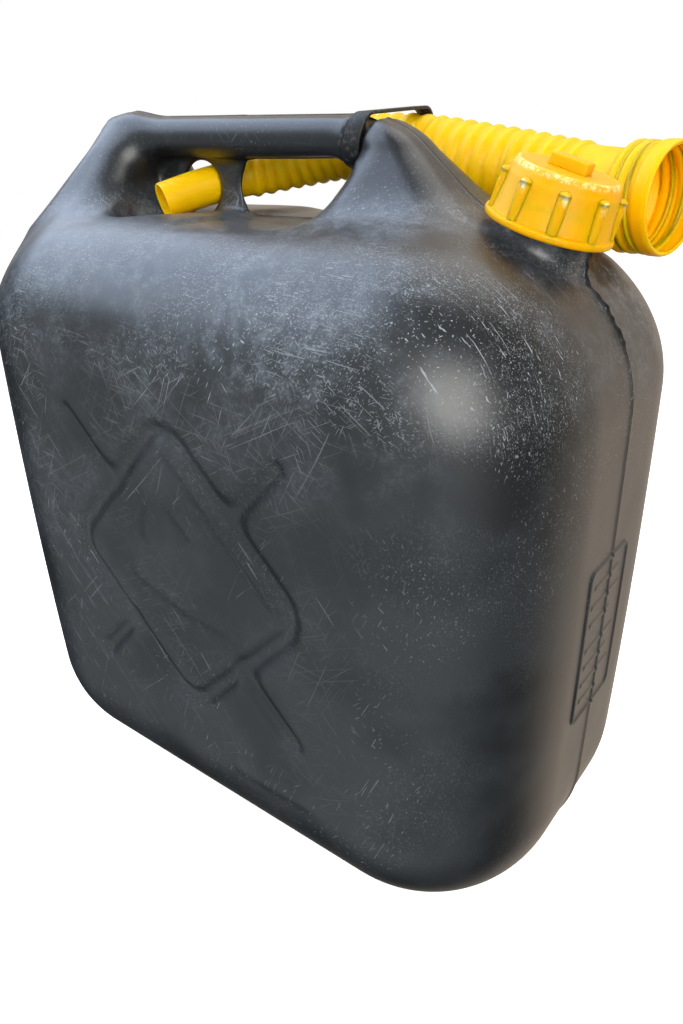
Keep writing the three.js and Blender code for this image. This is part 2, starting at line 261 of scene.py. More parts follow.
def joined(name, *parts):
    """One object from several mesh objects that share their materials' order."""
    shell = bmesh.new()
    for part in parts:
        shell.from_mesh(part.data)
    mesh = bpy.data.meshes.new(name)
    for material in parts[0].data.materials:
        mesh.materials.append(material)
    shell.to_mesh(mesh)
    shell.free()
    for part in parts:
        bpy.data.objects.remove(part)
    made = bpy.data.objects.new(name, mesh)
    bpy.context.scene.collection.objects.link(made)
    return made


def lathe(outline, sides, place):
    """Points and faces of a closed outline of (radius, height) turned round a placed axis."""
    rows = len(outline)
    points, faces, row_of = [], [], []
    for radius, height in outline:
        if radius < 1e-6:
            row_of.append([len(points)] * sides)
            points.append(place(0.0, 0.0, height))
            continue
        row_of.append(list(range(len(points), len(points) + sides)))
        for k in range(sides):
            angle = TURN * k / sides
            points.append(place(radius * math.cos(angle), radius * math.sin(angle), height))
    for i in range(rows):
        here, there = row_of[i], row_of[(i + 1) % rows]
        for k in range(sides):
            corners = [here[k], here[(k + 1) % sides], there[(k + 1) % sides], there[k]]
            face = list(dict.fromkeys(corners))
            if len(face) > 2:
                faces.append(face)
    return points, faces


def on_neck(x, y, z):
    """A point given in the neck's own axes, in the can's."""
    return NECK_FOOT + x * NECK_ALONG + np.array([0.0, y, 0.0]) + z * NECK_AXIS


def rounded_corner(centre, radius, start, end, count=5):
    """Points of an arc in an outline, from one angle to another in degrees."""
    angles = np.radians(np.linspace(start, end, count))
    return [(centre[0] + radius * math.cos(a), centre[1] + radius * math.sin(a)) for a in angles]


# ---- The spout's line -------------------------------------------------------------


def spout_samples(step=0.5):
    """Distances, points and outer radii along the spout, evenly spaced from its tip."""
    knots = np.array(SPOUT_LINE, float)
    ends = 2 * knots[0] - knots[1], 2 * knots[-1] - knots[-2]
    padded = np.vstack([ends[0], knots, ends[1]])
    share = np.linspace(0, 1, 60, endpoint=False)[:, None]
    fine = []
    for i in range(len(knots) - 1):
        p0, p1, p2, p3 = padded[i:i + 4]
        d0, d1, d2 = (
            np.linalg.norm((b - a)[:3]) ** 0.5 for a, b in ((p0, p1), (p1, p2), (p2, p3))
        )
        m1 = ((p1 - p0) / d0 - (p2 - p0) / (d0 + d1) + (p2 - p1) / d1) * d1
        m2 = ((p2 - p1) / d1 - (p3 - p1) / (d1 + d2) + (p3 - p2) / d2) * d1
        fine.append(
            p1 + share * m1 + share ** 2 * (3 * (p2 - p1) - 2 * m1 - m2)
            + share ** 3 * (2 * (p1 - p2) + m1 + m2)
        )
    fine = np.vstack([*fine, knots[-1:]])
    gaps = np.linalg.norm(np.diff(fine[:, :3], axis=0), axis=1)
    along = np.concatenate([[0], np.cumsum(gaps)])
    even = np.linspace(0, along[-1], int(along[-1] / step) + 1)
    return even, np.stack([np.interp(even, along, fine[:, k]) for k in range(4)], 1)


SPOUT_AT, SPOUT_POINTS = spout_samples()
SPOUT_LENGTH = float(SPOUT_AT[-1])


def spout_point(distance):
    """The point at a distance from the tip, in metres."""
    return tuple(float(np.interp(distance, SPOUT_AT, SPOUT_POINTS[:, k])) * MM for k in range(3))


# ---- The can as a signed distance ---------------------------------------------------


def ease(low, high, value):
    """0 before low, 1 after high, and smooth between."""
    share = np.clip((value - low) / (high - low), 0, 1)
    return share * share * (3 - 2 * share)


def round_min(a, b, k):
    """The union of two shapes with a fillet of about k."""
    share = np.clip(0.5 + 0.5 * (b - a) / k, 0, 1)
    return b * (1 - share) + a * share - k * share * (1 - share)


def round_max(a, b, k):
    """The intersection of two shapes with a rounding of about k."""
    return -round_min(-a, -b, k)


def round_box(x, y, half_x, half_y, radius):
    """Distance to a rectangle with round corners."""
    over_x, over_y = np.abs(x) - half_x + radius, np.abs(y) - half_y + radius
    outside = np.hypot(np.maximum(over_x, 0), np.maximum(over_y, 0))
    return outside + np.minimum(np.maximum(over_x, over_y), 0) - radius


def round_edge(a, b, radius):
    """The intersection of two shapes with a round edge of a true radius."""
    over_a, over_b = a + radius, b + radius
    outside = np.hypot(np.maximum(over_a, 0), np.maximum(over_b, 0))
    return outside + np.minimum(np.maximum(over_a, over_b), 0) - radius


def line_distance(x, z, ends):
    """Distance to a line of straight pieces drawn on the broad face."""
    best = np.full(np.shape(x), 1e3)
    for (x0, z0), (x1, z1) in zip(ends[:-1], ends[1:]):
        run, rise = x1 - x0, z1 - z0
        share = np.clip(((x - x0) * run + (z - z0) * rise) / (run * run + rise * rise), 0, 1)
        best = np.minimum(best, np.hypot(x - x0 - share * run, z - z0 - share * rise))
    return best


def strap_middle(z):
    """Where the strap's middle crosses the grip at a height, along X."""
    return STRAP_X + STRAP_LEAN * (np.clip(z, 370, 404) - 384)


class CanShape:
    """The outside of the can as a signed distance in millimetres, negative inside."""

    def __init__(self, sizes):
        self.half_length = sizes.length / MM / 2
        self.half_width = sizes.width / MM / 2
        self.shoulder = sizes.shoulder / MM
        self.upright = sizes.upright_edge / MM
        self.lower = sizes.lower_edge / MM
        self.upper = sizes.upper_edge / MM
        self.bulge = sizes.bulge / MM
        self.taper = sizes.taper / MM
        self.seam = sizes.seam / MM
        self.groove = sizes.groove / MM

    def barrel(self, x, y, z):
        """The rounded block, a little fuller at mid height and wider at the top."""
        share = np.clip(z / self.shoulder, 0, 1)
        grow = self.bulge * 4 * share * (1 - share) + self.taper * (share - 0.5)
        plan = round_box(x, y, self.half_length + grow, self.half_width + grow, self.upright)
        top = self.shoulder + 3 * ease(40, -60, x) - 10 * ease(90, 180, x)
        middle = self.lower + (self.shoulder - self.lower - self.upper) / 2
        low = round_edge(plan, -z, self.lower)
        high = round_edge(plan, z - top, self.upper)
        return np.where(z < middle, low, high)

    def grip(self, x, y, z):
        """The round-edged bar of the grip, falling a little towards the neck."""
        bar = round_box(y, z - GRIP_HEIGHT - GRIP_SLOPE * x, GRIP_HALF_WIDTH, GRIP_HALF_DEPTH,
                        GRIP_ROUND)
        return np.maximum(bar, np.abs(x + 45) - 88)

    def leg(self, x, y, z):
        """The broad column that carries the grip's far end and spreads to the shoulder."""
        fall = np.clip((400.5 - z) / 60.5, 0, 1.6)
        low, high = np.maximum(-133 - 50 * fall, -177), -104 + 2 * fall
        half_x, half_y = (high - low) / 2, 19 + 42 * fall
        corner = np.minimum(14 + 12 * fall, np.minimum(half_x, half_y) - 0.5)
        plan = round_box(x - (low + high) / 2, y, half_x, half_y, corner)
        return round_edge(plan * 0.8, np.maximum(z - 404.3, 300 - z), 17)

    def hump(self, x, y, z):
        """The column between the grip and the neck, sloping down to the cap."""
        fall = np.clip((398.5 - z) / 43.5, 0, 1.5)
        low, high = 50 - 16 * ease(386, 354, z), 62 + 50 * fall
        half_x, half_y = (high - low) / 2, 14 + 21 * fall ** 1.4
        corner = np.minimum(11 + 9 * fall, np.minimum(half_x, half_y) - 0.5)
        plan = round_box(x - (low + high) / 2, y, half_x, half_y, corner)
        return round_edge(plan * 0.8, np.maximum(z - 398.8, 310 - z), 12)

    def openings(self, x, y, z):
        """The finger window and the round hole that the nozzle passes through."""
        window = round_box(x, z - 367.5, 40, 14.2, 14)
        hole = np.hypot((x + 69.6) / 0.9, z - 367.7) - 14
        return np.minimum(np.maximum(window, np.abs(y) - 70), np.maximum(hole, np.abs(y) - 14))

    def strap_slot(self, x, y, z):
        """The leaning slit beside the hump that the strap lies in, with the grip left standing."""
        across = (x - strap_middle(z)) * math.cos(STRAP_YAW) + y * math.sin(STRAP_YAW)
        slab = np.maximum(np.abs(across) - 5.0, 376.4 - 0.26 * np.maximum(y, 0) - z)
        return np.maximum(slab, 0.35 - self.grip(x, y, z))

    def face_relief(self, x, z):
        """How far the broad faces are pressed in: a diamond groove, its four arms and dents."""
        across, up = x / math.sqrt(2), (z - 190) / math.sqrt(2)
        a, b = across + up, up - across
        ring = round_box(a, b, 59, 59, 17)
        arms = [np.hypot(np.maximum(np.abs(s) - 104, 0) + np.maximum(62 - np.abs(s), 0), t)
                for s, t in ((a, b), (b, a))]
        near = round_min(np.abs(ring), np.minimum(*arms) + 0.8, 11)
        deep = self.groove * np.clip(1 - (np.maximum(near, 0) / 7.4) ** 2, 0, 1) ** 1.6
        inside = 1.2 * ease(-5, -16, ring)
        creases = [
            ((-33, 181), (3, 170), (31, 168)),
            ((-20, 208), (-15, 224), (-2, 231), (15, 215)),
            ((32, 78), (81, 79)),
        ]
        soft = sum(0.8 * np.exp(-(line_distance(x, z, c) / 3.2) ** 2) for c in creases)
        return deep + inside - soft

    def flash(self, x, y, z):
        """The ridge of flash along the parting line, rough and high just below the neck."""
        rough = ease(146, 156, x) * ease(182, 176, x) * ease(300, 315, z)
        torn = 0.55 + 0.45 * np.sin(0.9 * z) * np.sin(0.41 * z + 1.3)
        return (self.seam + 1.5 * rough * torn) * np.exp(-(y / 0.8) ** 2)

    def field(self, points):
        """The signed distance at every point."""
        x, y, z = points[..., 0], points[..., 1], points[..., 2]
        d = self.barrel(x, y, z)
        high = z > 296
        px, py, pz = x[high], y[high], z[high]
        top = round_min(d[high], round_min(self.leg(px, py, pz), self.grip(px, py, pz), 14), 18)
        top = round_min(top, self.hump(px, py, pz), 16)
        offset = np.stack([px, py, pz], -1) - NECK_FOOT
        rise = offset @ NECK_AXIS
        out = np.linalg.norm(offset - rise[:, None] * NECK_AXIS, axis=-1)
        neck = np.maximum(np.maximum(out - NECK_RADIUS, rise - 0.3), -rise - 50)
        top = round_min(top, neck, 6)
        web = np.maximum(np.abs(px + 78) - 42, np.abs(pz - 370) - 30)
        top = round_min(top, np.maximum(np.abs(py) - 1.7, web), 3)
        top = round_max(top, -self.openings(px, py, pz), 3)
        top = round_max(top, -self.strap_slot(px, py, pz), 1.0)
        top = np.maximum(top, -np.maximum(out - 17, -rise - 40))
        near = np.abs(top) < 16
        top[near] = round_max(top[near], -self.spout_room(px[near], py[near], pz[near]), 6)
        d[high] = top
        relief = (z > 40) & (z < 300) & (np.abs(y) > 80) & (np.abs(x) < 130) & (np.abs(d) < 14)
        d[relief] += self.face_relief(x[relief], z[relief])
        line = np.abs(y) < 4
        d[line] -= self.flash(x[line], y[line], z[line])
        return d

    @staticmethod
    def spout_room(x, y, z):
        """Distance to the hollow that the spout lies in and the scoop its nozzle points into."""
        points = np.stack([x, y, z], -1)
        best = np.full(len(points), 1e3)
        marks = np.arange(30, SPOUT_LENGTH, 12)
        rows = np.stack([np.interp(marks, SPOUT_AT, SPOUT_POINTS[:, k]) for k in range(4)], 1)
        rows[:, 3] += 1.7
        tip, way = SPOUT_POINTS[0, :3], SPOUT_POINTS[0, :3] - SPOUT_POINTS[30, :3]
        way = way / np.linalg.norm(way)
        scoop = np.array([[*(tip + 12 * way), 15.4], [*SPOUT_POINTS[60, :3], 11.9]])
        for ends in (*zip(rows[:-1], rows[1:]), scoop):
            start, run = ends[0][:3], ends[1][:3] - ends[0][:3]
            share = np.clip((points - start) @ run / (run @ run), 0, 1)
            radius = ends[0][3] + share * (ends[1][3] - ends[0][3])
            gap = np.linalg.norm(points - start - share[:, None] * run, axis=-1) - radius
            best = np.minimum(best, gap)
        return best


def marks(*spans):
    """Grid lines at unequal steps: each span is (from, to, step)."""
    lines = [np.linspace(a, b, max(1, round((b - a) / step)), endpoint=False)
             for a, b, step in spans]
    return np.concatenate([*lines, [spans[-1][1]]])


def net_surface(field, xs, ys, zs):
    """Points and four-sided faces on the zero level of a field, one point in each crossed cell."""
    axes = (xs, ys, zs)
    count = tuple(len(a) for a in axes)
    value = np.empty(count)
    for i in range(0, count[0], 16):
        value[i:i + 16] = field(np.stack(np.meshgrid(xs[i:i + 16], ys, zs, indexing="ij"), -1))
    inside = value < 0
    corners = [(i, j, k) for i in (0, 1) for j in (0, 1) for k in (0, 1)]

    def block(corner):
        return tuple(slice(o, n - 1 + o) for o, n in zip(corner, count))

    cells = tuple(n - 1 for n in count)
    total, hits = np.zeros((*cells, 3)), np.zeros(cells)
    for p in corners:
        for q in corners:
            if p >= q or sum(abs(a - b) for a, b in zip(p, q)) != 1:
                continue
            a, b = value[block(p)], value[block(q)]
            crossed = (a < 0) != (b < 0)
            share = np.where(crossed, a / np.where(crossed, a - b, 1), 0)
            for d in range(3):
                total[..., d] += np.where(crossed, p[d] + (q[d] - p[d]) * share, 0)
            hits += crossed
    used = hits > 0
    number = np.full(cells, -1)
    number[used] = np.arange(used.sum())
    where = np.argwhere(used)
    part = total[used] / hits[used][:, None]
    points = np.stack([
        axes[d][where[:, d]] + part[:, d] * np.diff(axes[d])[where[:, d]] for d in range(3)
    ], 1)
    faces = []
    for d in range(3):
        e, f = (d + 1) % 3, (d + 2) % 3
        span = [slice(1, n - 1) for n in count]
        span[d] = slice(0, count[d] - 1)
        ahead = list(span)
        ahead[d] = slice(1, count[d])
        here, there = inside[tuple(span)], inside[tuple(ahead)]
        edge = np.argwhere(here != there)
        leaving = here[here != there]
        edge[:, e] += 1
        edge[:, f] += 1
        ring = []
        for back_e, back_f in ((1, 1), (0, 1), (0, 0), (1, 0)):
            cell = edge.copy()
            cell[:, e] -= back_e
            cell[:, f] -= back_f
            ring.append(number[cell[:, 0], cell[:, 1], cell[:, 2]])
        quads = np.stack(ring, 1)
        quads[~leaving] = quads[~leaving][:, ::-1]
        faces.append(quads)
    return settle(field, points, 1.1), np.concatenate(faces)


def settle(field, points, reach, rounds=3):
    """Moves points onto the zero level of a field, no further than reach each time."""
    small = 0.5
    for _ in range(rounds):
        slope = np.stack([
            (field(points + small * axis) - field(points - small * axis)) / (2 * small)
            for axis in np.eye(3)
        ], 1)
        steep = np.maximum((slope ** 2).sum(1), 0.25)
        move = (field(points) / steep)[:, None] * slope
        size = np.linalg.norm(move, axis=1, keepdims=True)
        points = points - move * np.minimum(1, reach / np.maximum(size, 1e-9))
    return points


# ---- Geometry Nodes -----------------------------------------------------------------


def new_tree(name, sockets):
    """A geometry node tree with named inputs: (name, socket type, default)."""
    tree = bpy.data.node_groups.new(name, "GeometryNodeTree")
    tree.is_modifier = True
    tree.interface.new_socket("Geometry", in_out="INPUT", socket_type="NodeSocketGeometry")
    for label, kind, default in sockets:
        made = tree.interface.new_socket(label, in_out="INPUT", socket_type=kind)
        if default is not None:
            made.default_value = default
    tree.interface.new_socket("Geometry", in_out="OUTPUT", socket_type="NodeSocketGeometry")
    return tree, tree.nodes.new("NodeGroupInput")


def close_tree(tree, group, geometry):
    """Ends a tree in plain geometry that carries the chosen material."""
    real = add_node(tree, "GeometryNodeRealizeInstances", [("Geometry", geometry)])
    smooth = add_node(tree, "GeometryNodeSetShadeSmooth", [("Geometry", real.outputs[0])])
    finish = add_node(tree, "GeometryNodeSetMaterial", [
        ("Geometry", smooth.outputs[0]), ("Material", group.outputs["Material"])])
    out = tree.nodes.new("NodeGroupOutput")
    tree.links.new(finish.outputs[0], out.inputs["Geometry"])
    return tree


def run_tree(piece, tree, values):
    """Puts a tree on a piece, sets its inputs by their identifiers and applies it."""
    modifier = piece.modifiers.new(tree.name, "NODES")
    modifier.node_group = tree
    for item in tree.interface.items_tree:
        if item.item_type == "SOCKET" and item.in_out == "INPUT" and item.name in values:
            modifier[item.identifier] = values[item.name]
    return apply_modifiers(piece)


def ridged_tube_tree():
    """A tube along a curve whose radius swells into evenly spaced round ridges."""
    tree, group = new_tree("Ridged tube", [
        ("Pitch", "NodeSocketFloat", 0.008), ("Ridge", "NodeSocketFloat", 0.0012),
        ("First", "NodeSocketFloat", 0.0), ("Last", "NodeSocketFloat", 0.1),
        ("Phase", "NodeSocketFloat", 0.0), ("Sides", "NodeSocketInt", 64),
        ("Material", "NodeSocketMaterial", None),
    ])

    def math_node(kind, a, b, **more):
        made = add_node(tree, "ShaderNodeMath", [(0, a), (1, b)], operation=kind, **more)
        return made.outputs[0]

    along = add_node(tree, "GeometryNodeSplineParameter").outputs["Length"]
    shifted = math_node("ADD", along, group.outputs["Phase"])
    turns = math_node("DIVIDE", shifted, group.outputs["Pitch"])
    wave = math_node("COSINE", math_node("MULTIPLY", turns, TURN), 0.0)
    crest = math_node("MULTIPLY", math_node("ADD", wave, 1.0), 0.5)
    crest = math_node("POWER", crest, 0.8)
    fade = 0.004
    masks = []
    for edge, sign in (("First", 1.0), ("Last", -1.0)):
        beyond = math_node("SUBTRACT", along, group.outputs[edge])
        past = math_node("MULTIPLY", beyond, sign / fade)
        masks.append(math_node("MULTIPLY", past, 1.0, use_clamp=True))
    mask = math_node("MULTIPLY", *masks)
    swell = math_node("MULTIPLY", math_node("MULTIPLY", crest, mask), group.outputs["Ridge"])
    radius = add_node(tree, "GeometryNodeInputRadius").outputs[0]
    section = add_node(tree, "GeometryNodeCurvePrimitiveCircle", [
        ("Resolution", group.outputs["Sides"]), ("Radius", 1.0)])
    tube = add_node(tree, "GeometryNodeCurveToMesh", [
        ("Curve", group.outputs["Geometry"]), ("Profile Curve", section.outputs["Curve"]),
        ("Scale", math_node("ADD", radius, swell)), ("Fill Caps", False)])
    return close_tree(tree, group, tube.outputs[0])


def bead_tree():
    """A round bead along a curve, as thick as the curve's own radius, closed at its ends."""
    tree, group = new_tree("Round bead", [
        ("Bead", "NodeSocketFloat", 0.0014), ("Material", "NodeSocketMaterial", None)])
    radius = add_node(tree, "GeometryNodeInputRadius").outputs[0]
    size = add_node(tree, "ShaderNodeMath", [(0, radius), (1, group.outputs["Bead"])],
                    operation="MULTIPLY")
    section = add_node(tree, "GeometryNodeCurvePrimitiveCircle", [
        ("Resolution", 12), ("Radius", 1.0)])
    bead = add_node(tree, "GeometryNodeCurveToMesh", [
        ("Curve", group.outputs["Geometry"]), ("Profile Curve", section.outputs["Curve"]),
        ("Scale", size.outputs[0]), ("Fill Caps", True)])
    return close_tree(tree, group, bead.outputs[0])


def cap_rib_tree():
    """Half-round grip ribs set round the cap's wall, leaning in with it."""
    tree, group = new_tree("Cap ribs", [
        ("Count", "NodeSocketInt", 9), ("Circle", "NodeSocketFloat", 0.025),
        ("Rib", "NodeSocketFloat", 0.0026), ("Height", "NodeSocketFloat", 0.014),
        ("Base", "NodeSocketFloat", 0.001), ("Lean", "NodeSocketFloat", 0.05),
        ("Turn", "NodeSocketFloat", 0.0),
        ("Material", "NodeSocketMaterial", None),
    ])

    def math_node(kind, a, b):
        return add_node(tree, "ShaderNodeMath", [(0, a), (1, b)], operation=kind).outputs[0]

    def vector(x=0.0, y=0.0, z=0.0):
        return add_node(tree, "ShaderNodeCombineXYZ", [(0, x), (1, y), (2, z)]).outputs[0]

    bar = add_node(tree, "GeometryNodeMeshCylinder", [
        ("Vertices", 20), ("Radius", group.outputs["Rib"]), ("Depth", group.outputs["Height"])])
    half = math_node("MULTIPLY", group.outputs["Height"], 0.5)
    stand = add_node(tree, "GeometryNodeTransform", [
        ("Geometry", bar.outputs[0]), ("Translation", vector(z=half))])
    ball = add_node(tree, "GeometryNodeMeshUVSphere", [
        ("Segments", 20), ("Rings", 12), ("Radius", group.outputs["Rib"])])
    round_top = add_node(tree, "GeometryNodeTransform", [
        ("Geometry", ball.outputs[0]), ("Translation", vector(z=group.outputs["Height"])),
        ("Scale", (1.0, 1.0, 0.62))])
    rib = add_node(tree, "GeometryNodeJoinGeometry")
    tree.links.new(stand.outputs[0], rib.inputs[0])
    tree.links.new(round_top.outputs[0], rib.inputs[0])
    leaning = add_node(tree, "GeometryNodeTransform", [
        ("Geometry", rib.outputs[0]),
        ("Rotation", vector(y=math_node("MULTIPLY", group.outputs["Lean"], -1.0)))])
    circle = add_node(tree, "GeometryNodeMeshCircle", [
        ("Vertices", group.outputs["Count"]), ("Radius", group.outputs["Circle"])])
    place = add_node(tree, "GeometryNodeInputPosition").outputs[0]
    facing = add_node(tree, "FunctionNodeAlignRotationToVector", [("Vector", place)], axis="X",
                      pivot_axis="Z")
    ring = add_node(tree, "GeometryNodeInstanceOnPoints", [
        ("Points", circle.outputs[0]), ("Instance", leaning.outputs[0]),
        ("Rotation", facing.outputs[0])])
    lifted = add_node(tree, "GeometryNodeTransform", [
        ("Geometry", ring.outputs[0]), ("Translation", vector(z=group.outputs["Base"])),
        ("Rotation", vector(z=group.outputs["Turn"]))])
    on_axis = add_node(tree, "GeometryNodeTransform", [
        ("Geometry", lifted.outputs[0]),
        ("Translation", tuple(float(c) * MM for c in NECK_FOOT)),
        ("Rotation", (0.0, NECK_TILT, 0.0))])
    return close_tree(tree, group, on_axis.outputs[0])


def curve_object(name, points, radii):
    """A straight-stepped curve in metres with a radius at every point."""
    data = bpy.data.curves.new(name, "CURVE")
    data.dimensions = "3D"
    line = data.splines.new("POLY")
    line.points.add(len(points) - 1)
    for spot, place, radius in zip(line.points, points, radii):
        spot.co = (*(float(c) * MM for c in place), 1.0)
        spot.radius = float(radius)
    made = bpy.data.objects.new(name, data)
    bpy.context.scene.collection.objects.link(made)
    return made


def thread(name, place, radius, start, turns, pitch, phase, bead, material, tree):
    """One right-handed thread bead whose ends run out to nothing."""
    share = np.linspace(0, 1, int(turns * 40) + 1)
    angle = phase + share * turns * TURN
    points = [place(radius * math.cos(a), radius * math.sin(a), start + s * turns * pitch)
              for a, s in zip(angle, share)]
    fade = np.clip(np.minimum(share, 1 - share) * 14, 0.15, 1)
    curve = curve_object(name, points, fade)
    return run_tree(curve, tree, {"Bead": bead * MM, "Material": material})


# ---- Materials ----------------------------------------------------------------------


def new_material(name):
    """A material with its output, its shader and object coordinates."""
    material = bpy.data.materials.new(name)
    material.use_nodes = True
    tree = material.node_tree
    tree.nodes.clear()
    shader = add_node(tree, "ShaderNodeBsdfPrincipled")
    add_node(tree, "ShaderNodeOutputMaterial", [("Surface", shader.outputs[0])])
    place = add_node(tree, "ShaderNodeTexCoord").outputs["Object"]
    return material, tree, shader, place


def noise(tree, place, size, detail=2.0, rough=0.5, distortion=0.0):
    """Noise whose features are about a size in metres across."""
    return add_node(tree, "ShaderNodeTexNoise", [
        ("Vector", place), ("Scale", 1.0 / size), ("Detail", detail), ("Roughness", rough),
        ("Distortion", distortion)]).outputs["Fac"]


def step_between(tree, value, low, high):
    """0 below low, 1 above high, smooth between."""
    return add_node(tree, "ShaderNodeMapRange", [
        ("Value", value), ("From Min", low), ("From Max", high)],
        interpolation_type="SMOOTHSTEP").outputs[0]


def combine(tree, kind, a, b):
    """Two values through one sum."""
    return add_node(tree, "ShaderNodeMath", [(0, a), (1, b)], operation=kind,
                    use_clamp=True).outputs[0]


def blend_colour(tree, share, a, b):
    """Colour a turning into colour b."""
    return add_node(tree, "ShaderNodeMix", [(0, share), (6, a), (7, b)],
                    data_type="RGBA").outputs[2]


def scratches(tree, place, turned, run, width, rarity):
    """Hairlines that run one way: noise drawn out along one direction and cut off high."""
    drawn = add_node(tree, "ShaderNodeMapping", [
        ("Vector", place), ("Rotation", turned), ("Scale", (run, width, width))],
        vector_type="TEXTURE").outputs[0]
    streaks = add_node(tree, "ShaderNodeTexNoise", [
        ("Vector", drawn), ("Scale", 1.0), ("Detail", 1.0), ("Roughness", 0.4)]).outputs["Fac"]
    return step_between(tree, streaks, rarity, rarity + 0.035)


def blown_polyethylene(sizes):
    """Blow-moulded HDPE with carbon black: a satin skin that rubs grey and scratches white; the
    whitish cast in its colour is partly rubbed whitening and partly a painted sheen.
    """
    material, tree, shader, place = new_material("Blow-moulded HDPE, carbon black")
    axes = add_node(tree, "ShaderNodeSeparateXYZ", [(0, place)]).outputs
    # Rubbed most round the shoulder and down the grip end, where the whitish cast also stands in
    # for a painted sheen; the grip itself stays clean.
    below_grip = step_between(tree, axes["Z"], 0.374, 0.354)
    high = combine(tree, "MULTIPLY", step_between(tree, axes["Z"], 0.225, 0.330), below_grip)
    left = combine(tree, "MULTIPLY", step_between(tree, axes["X"], 0.06, -0.16),
                   step_between(tree, axes["Z"], 0.10, 0.28))
    left = combine(tree, "MULTIPLY", left, below_grip)
    worn = combine(tree, "MAXIMUM", high, combine(tree, "MULTIPLY", left, 0.55))
    # A whitish cast in cloudy patches of 60 mm, broken up by a 9 mm and a 1.5 mm grain, with a
    # faint even film below the grip: partly rubbed whitening, partly a painted sheen.
    clouds = step_between(tree, noise(tree, place, 0.060, 3.0), 0.36, 0.66)
    grain = step_between(tree, noise(tree, place, 0.009, 6.0, 0.72), 0.38, 0.70)
    speck = step_between(tree, noise(tree, place, 0.0016, 3.0, 0.7), 0.40, 0.72)
    rubbed_haze_and_sheen = combine(tree, "MULTIPLY", combine(tree, "MULTIPLY", clouds, grain), worn)
    rubbed_haze_and_sheen = combine(tree, "MULTIPLY", rubbed_haze_and_sheen, combine(tree, "ADD", 0.35, speck))
    film_and_sheen = combine(tree, "MULTIPLY", combine(tree, "ADD", 0.35, clouds),
                   combine(tree, "MULTIPLY", below_grip, 0.06))
    rubbed_haze_and_sheen = combine(tree, "ADD", combine(tree, "MULTIPLY", rubbed_haze_and_sheen, 0.42), film_and_sheen)
    # Scratches along the face in many directions, bent a little by a slow distortion.
    bend = add_node(tree, "ShaderNodeTexNoise", [
        ("Vector", place), ("Scale", 22.0), ("Detail", 1.0)]).outputs["Color"]
    bent = add_node(tree, "ShaderNodeVectorMath", [
        (0, place), (1, add_node(tree, "ShaderNodeVectorMath", [(0, bend), ("Scale", 0.004)],
                                 operation="SCALE").outputs[0])], operation="ADD").outputs[0]
    fine = [
        ((0.0, 0.62, 0.0), 0.120, 0.0006, 0.675), ((0.0, -0.45, 0.0), 0.110, 0.0006, 0.675),
        ((0.0, 1.25, 0.0), 0.130, 0.0006, 0.680), ((0.0, 0.12, 0.0), 0.100, 0.0006, 0.675),
        ((0.0, -1.05, 0.0), 0.120, 0.0006, 0.680),
    ]
    long_ones = [
        ((0.0, 0.85, 0.0), 0.260, 0.0008, 0.715), ((0.0, -0.75, 0.0), 0.220, 0.0008, 0.715),
        ((0.0, 2.0, 0.0), 0.240, 0.0008, 0.715),
    ]
    hairs, cuts = (
        functools.reduce(lambda a, b: combine(tree, "MAXIMUM", a, b),
                         [scratches(tree, bent, *layer) for layer in layers])
        for layers in (fine, long_ones)
    )
    patches = step_between(tree, noise(tree, place, 0.040, 3.0), 0.36, 0.64)
    density = combine(tree, "ADD", combine(tree, "MULTIPLY", worn, 0.22), 0.035)
    hairs = combine(tree, "MULTIPLY", hairs, combine(tree, "MULTIPLY", patches, density))
    cuts = combine(tree, "MULTIPLY", cuts, combine(
        tree, "MULTIPLY", step_between(tree, noise(tree, place, 0.07, 1.0), 0.42, 0.58),
        combine(tree, "ADD", combine(tree, "MULTIPLY", worn, 0.30), 0.14)))
    lines = combine(tree, "MAXIMUM", hairs, cuts)
    # Painted sheen: the whitish cast mixed into the black here is partly rubbed whitening and
    # partly sheen painted into the colour.
    tint = blend_colour(tree, rubbed_haze_and_sheen, linear(sizes.plastic), linear(sizes.rubbed_haze_and_sheen))
    tint = blend_colour(tree, lines, tint, linear(sizes.scratch))
    # Painted shade: a near-black line along the parting line on the top stands in for the thin
    # shade beside the seam's flash.
    across = add_node(tree, "ShaderNodeMath", [(0, axes["Y"])], operation="ABSOLUTE").outputs[0]
    parting = combine(tree, "MULTIPLY", step_between(tree, across, 0.0014, 0.0005),
                      step_between(tree, axes["Z"], 0.290, 0.315))
    tint = blend_colour(tree, combine(tree, "MULTIPLY", parting, 0.85), tint, linear("#040405"))
    tree.links.new(tint, shader.inputs["Base Color"])
    rough = add_node(tree, "ShaderNodeMapRange", [
        ("Value", combine(tree, "MAXIMUM", rubbed_haze_and_sheen, combine(tree, "MULTIPLY", clouds, 0.25))),
        ("To Min", 0.33), ("To Max", 0.50)]).outputs[0]
    tree.links.new(rough, shader.inputs["Roughness"])
    shader.inputs["IOR"].default_value = 1.54
    # A 1.2 mm moulded grain, a slow 25 mm waviness of the blown wall, and the scratches' burrs.
    skin = add_node(tree, "ShaderNodeBump", [
        ("Height", noise(tree, place, 0.0012, 2.0)), ("Strength", 0.10), ("Distance", 0.0003)])
    wavy = add_node(tree, "ShaderNodeBump", [
        ("Height", noise(tree, place, 0.030, 1.0)), ("Strength", 0.25), ("Distance", 0.0012),
        ("Normal", skin.outputs[0])])
    burr = add_node(tree, "ShaderNodeBump", [
        ("Height", lines), ("Strength", 0.5), ("Distance", 0.0003), ("Normal", wavy.outputs[0])])
    tree.links.new(burr.outputs[0], shader.inputs["Normal"])
    return material


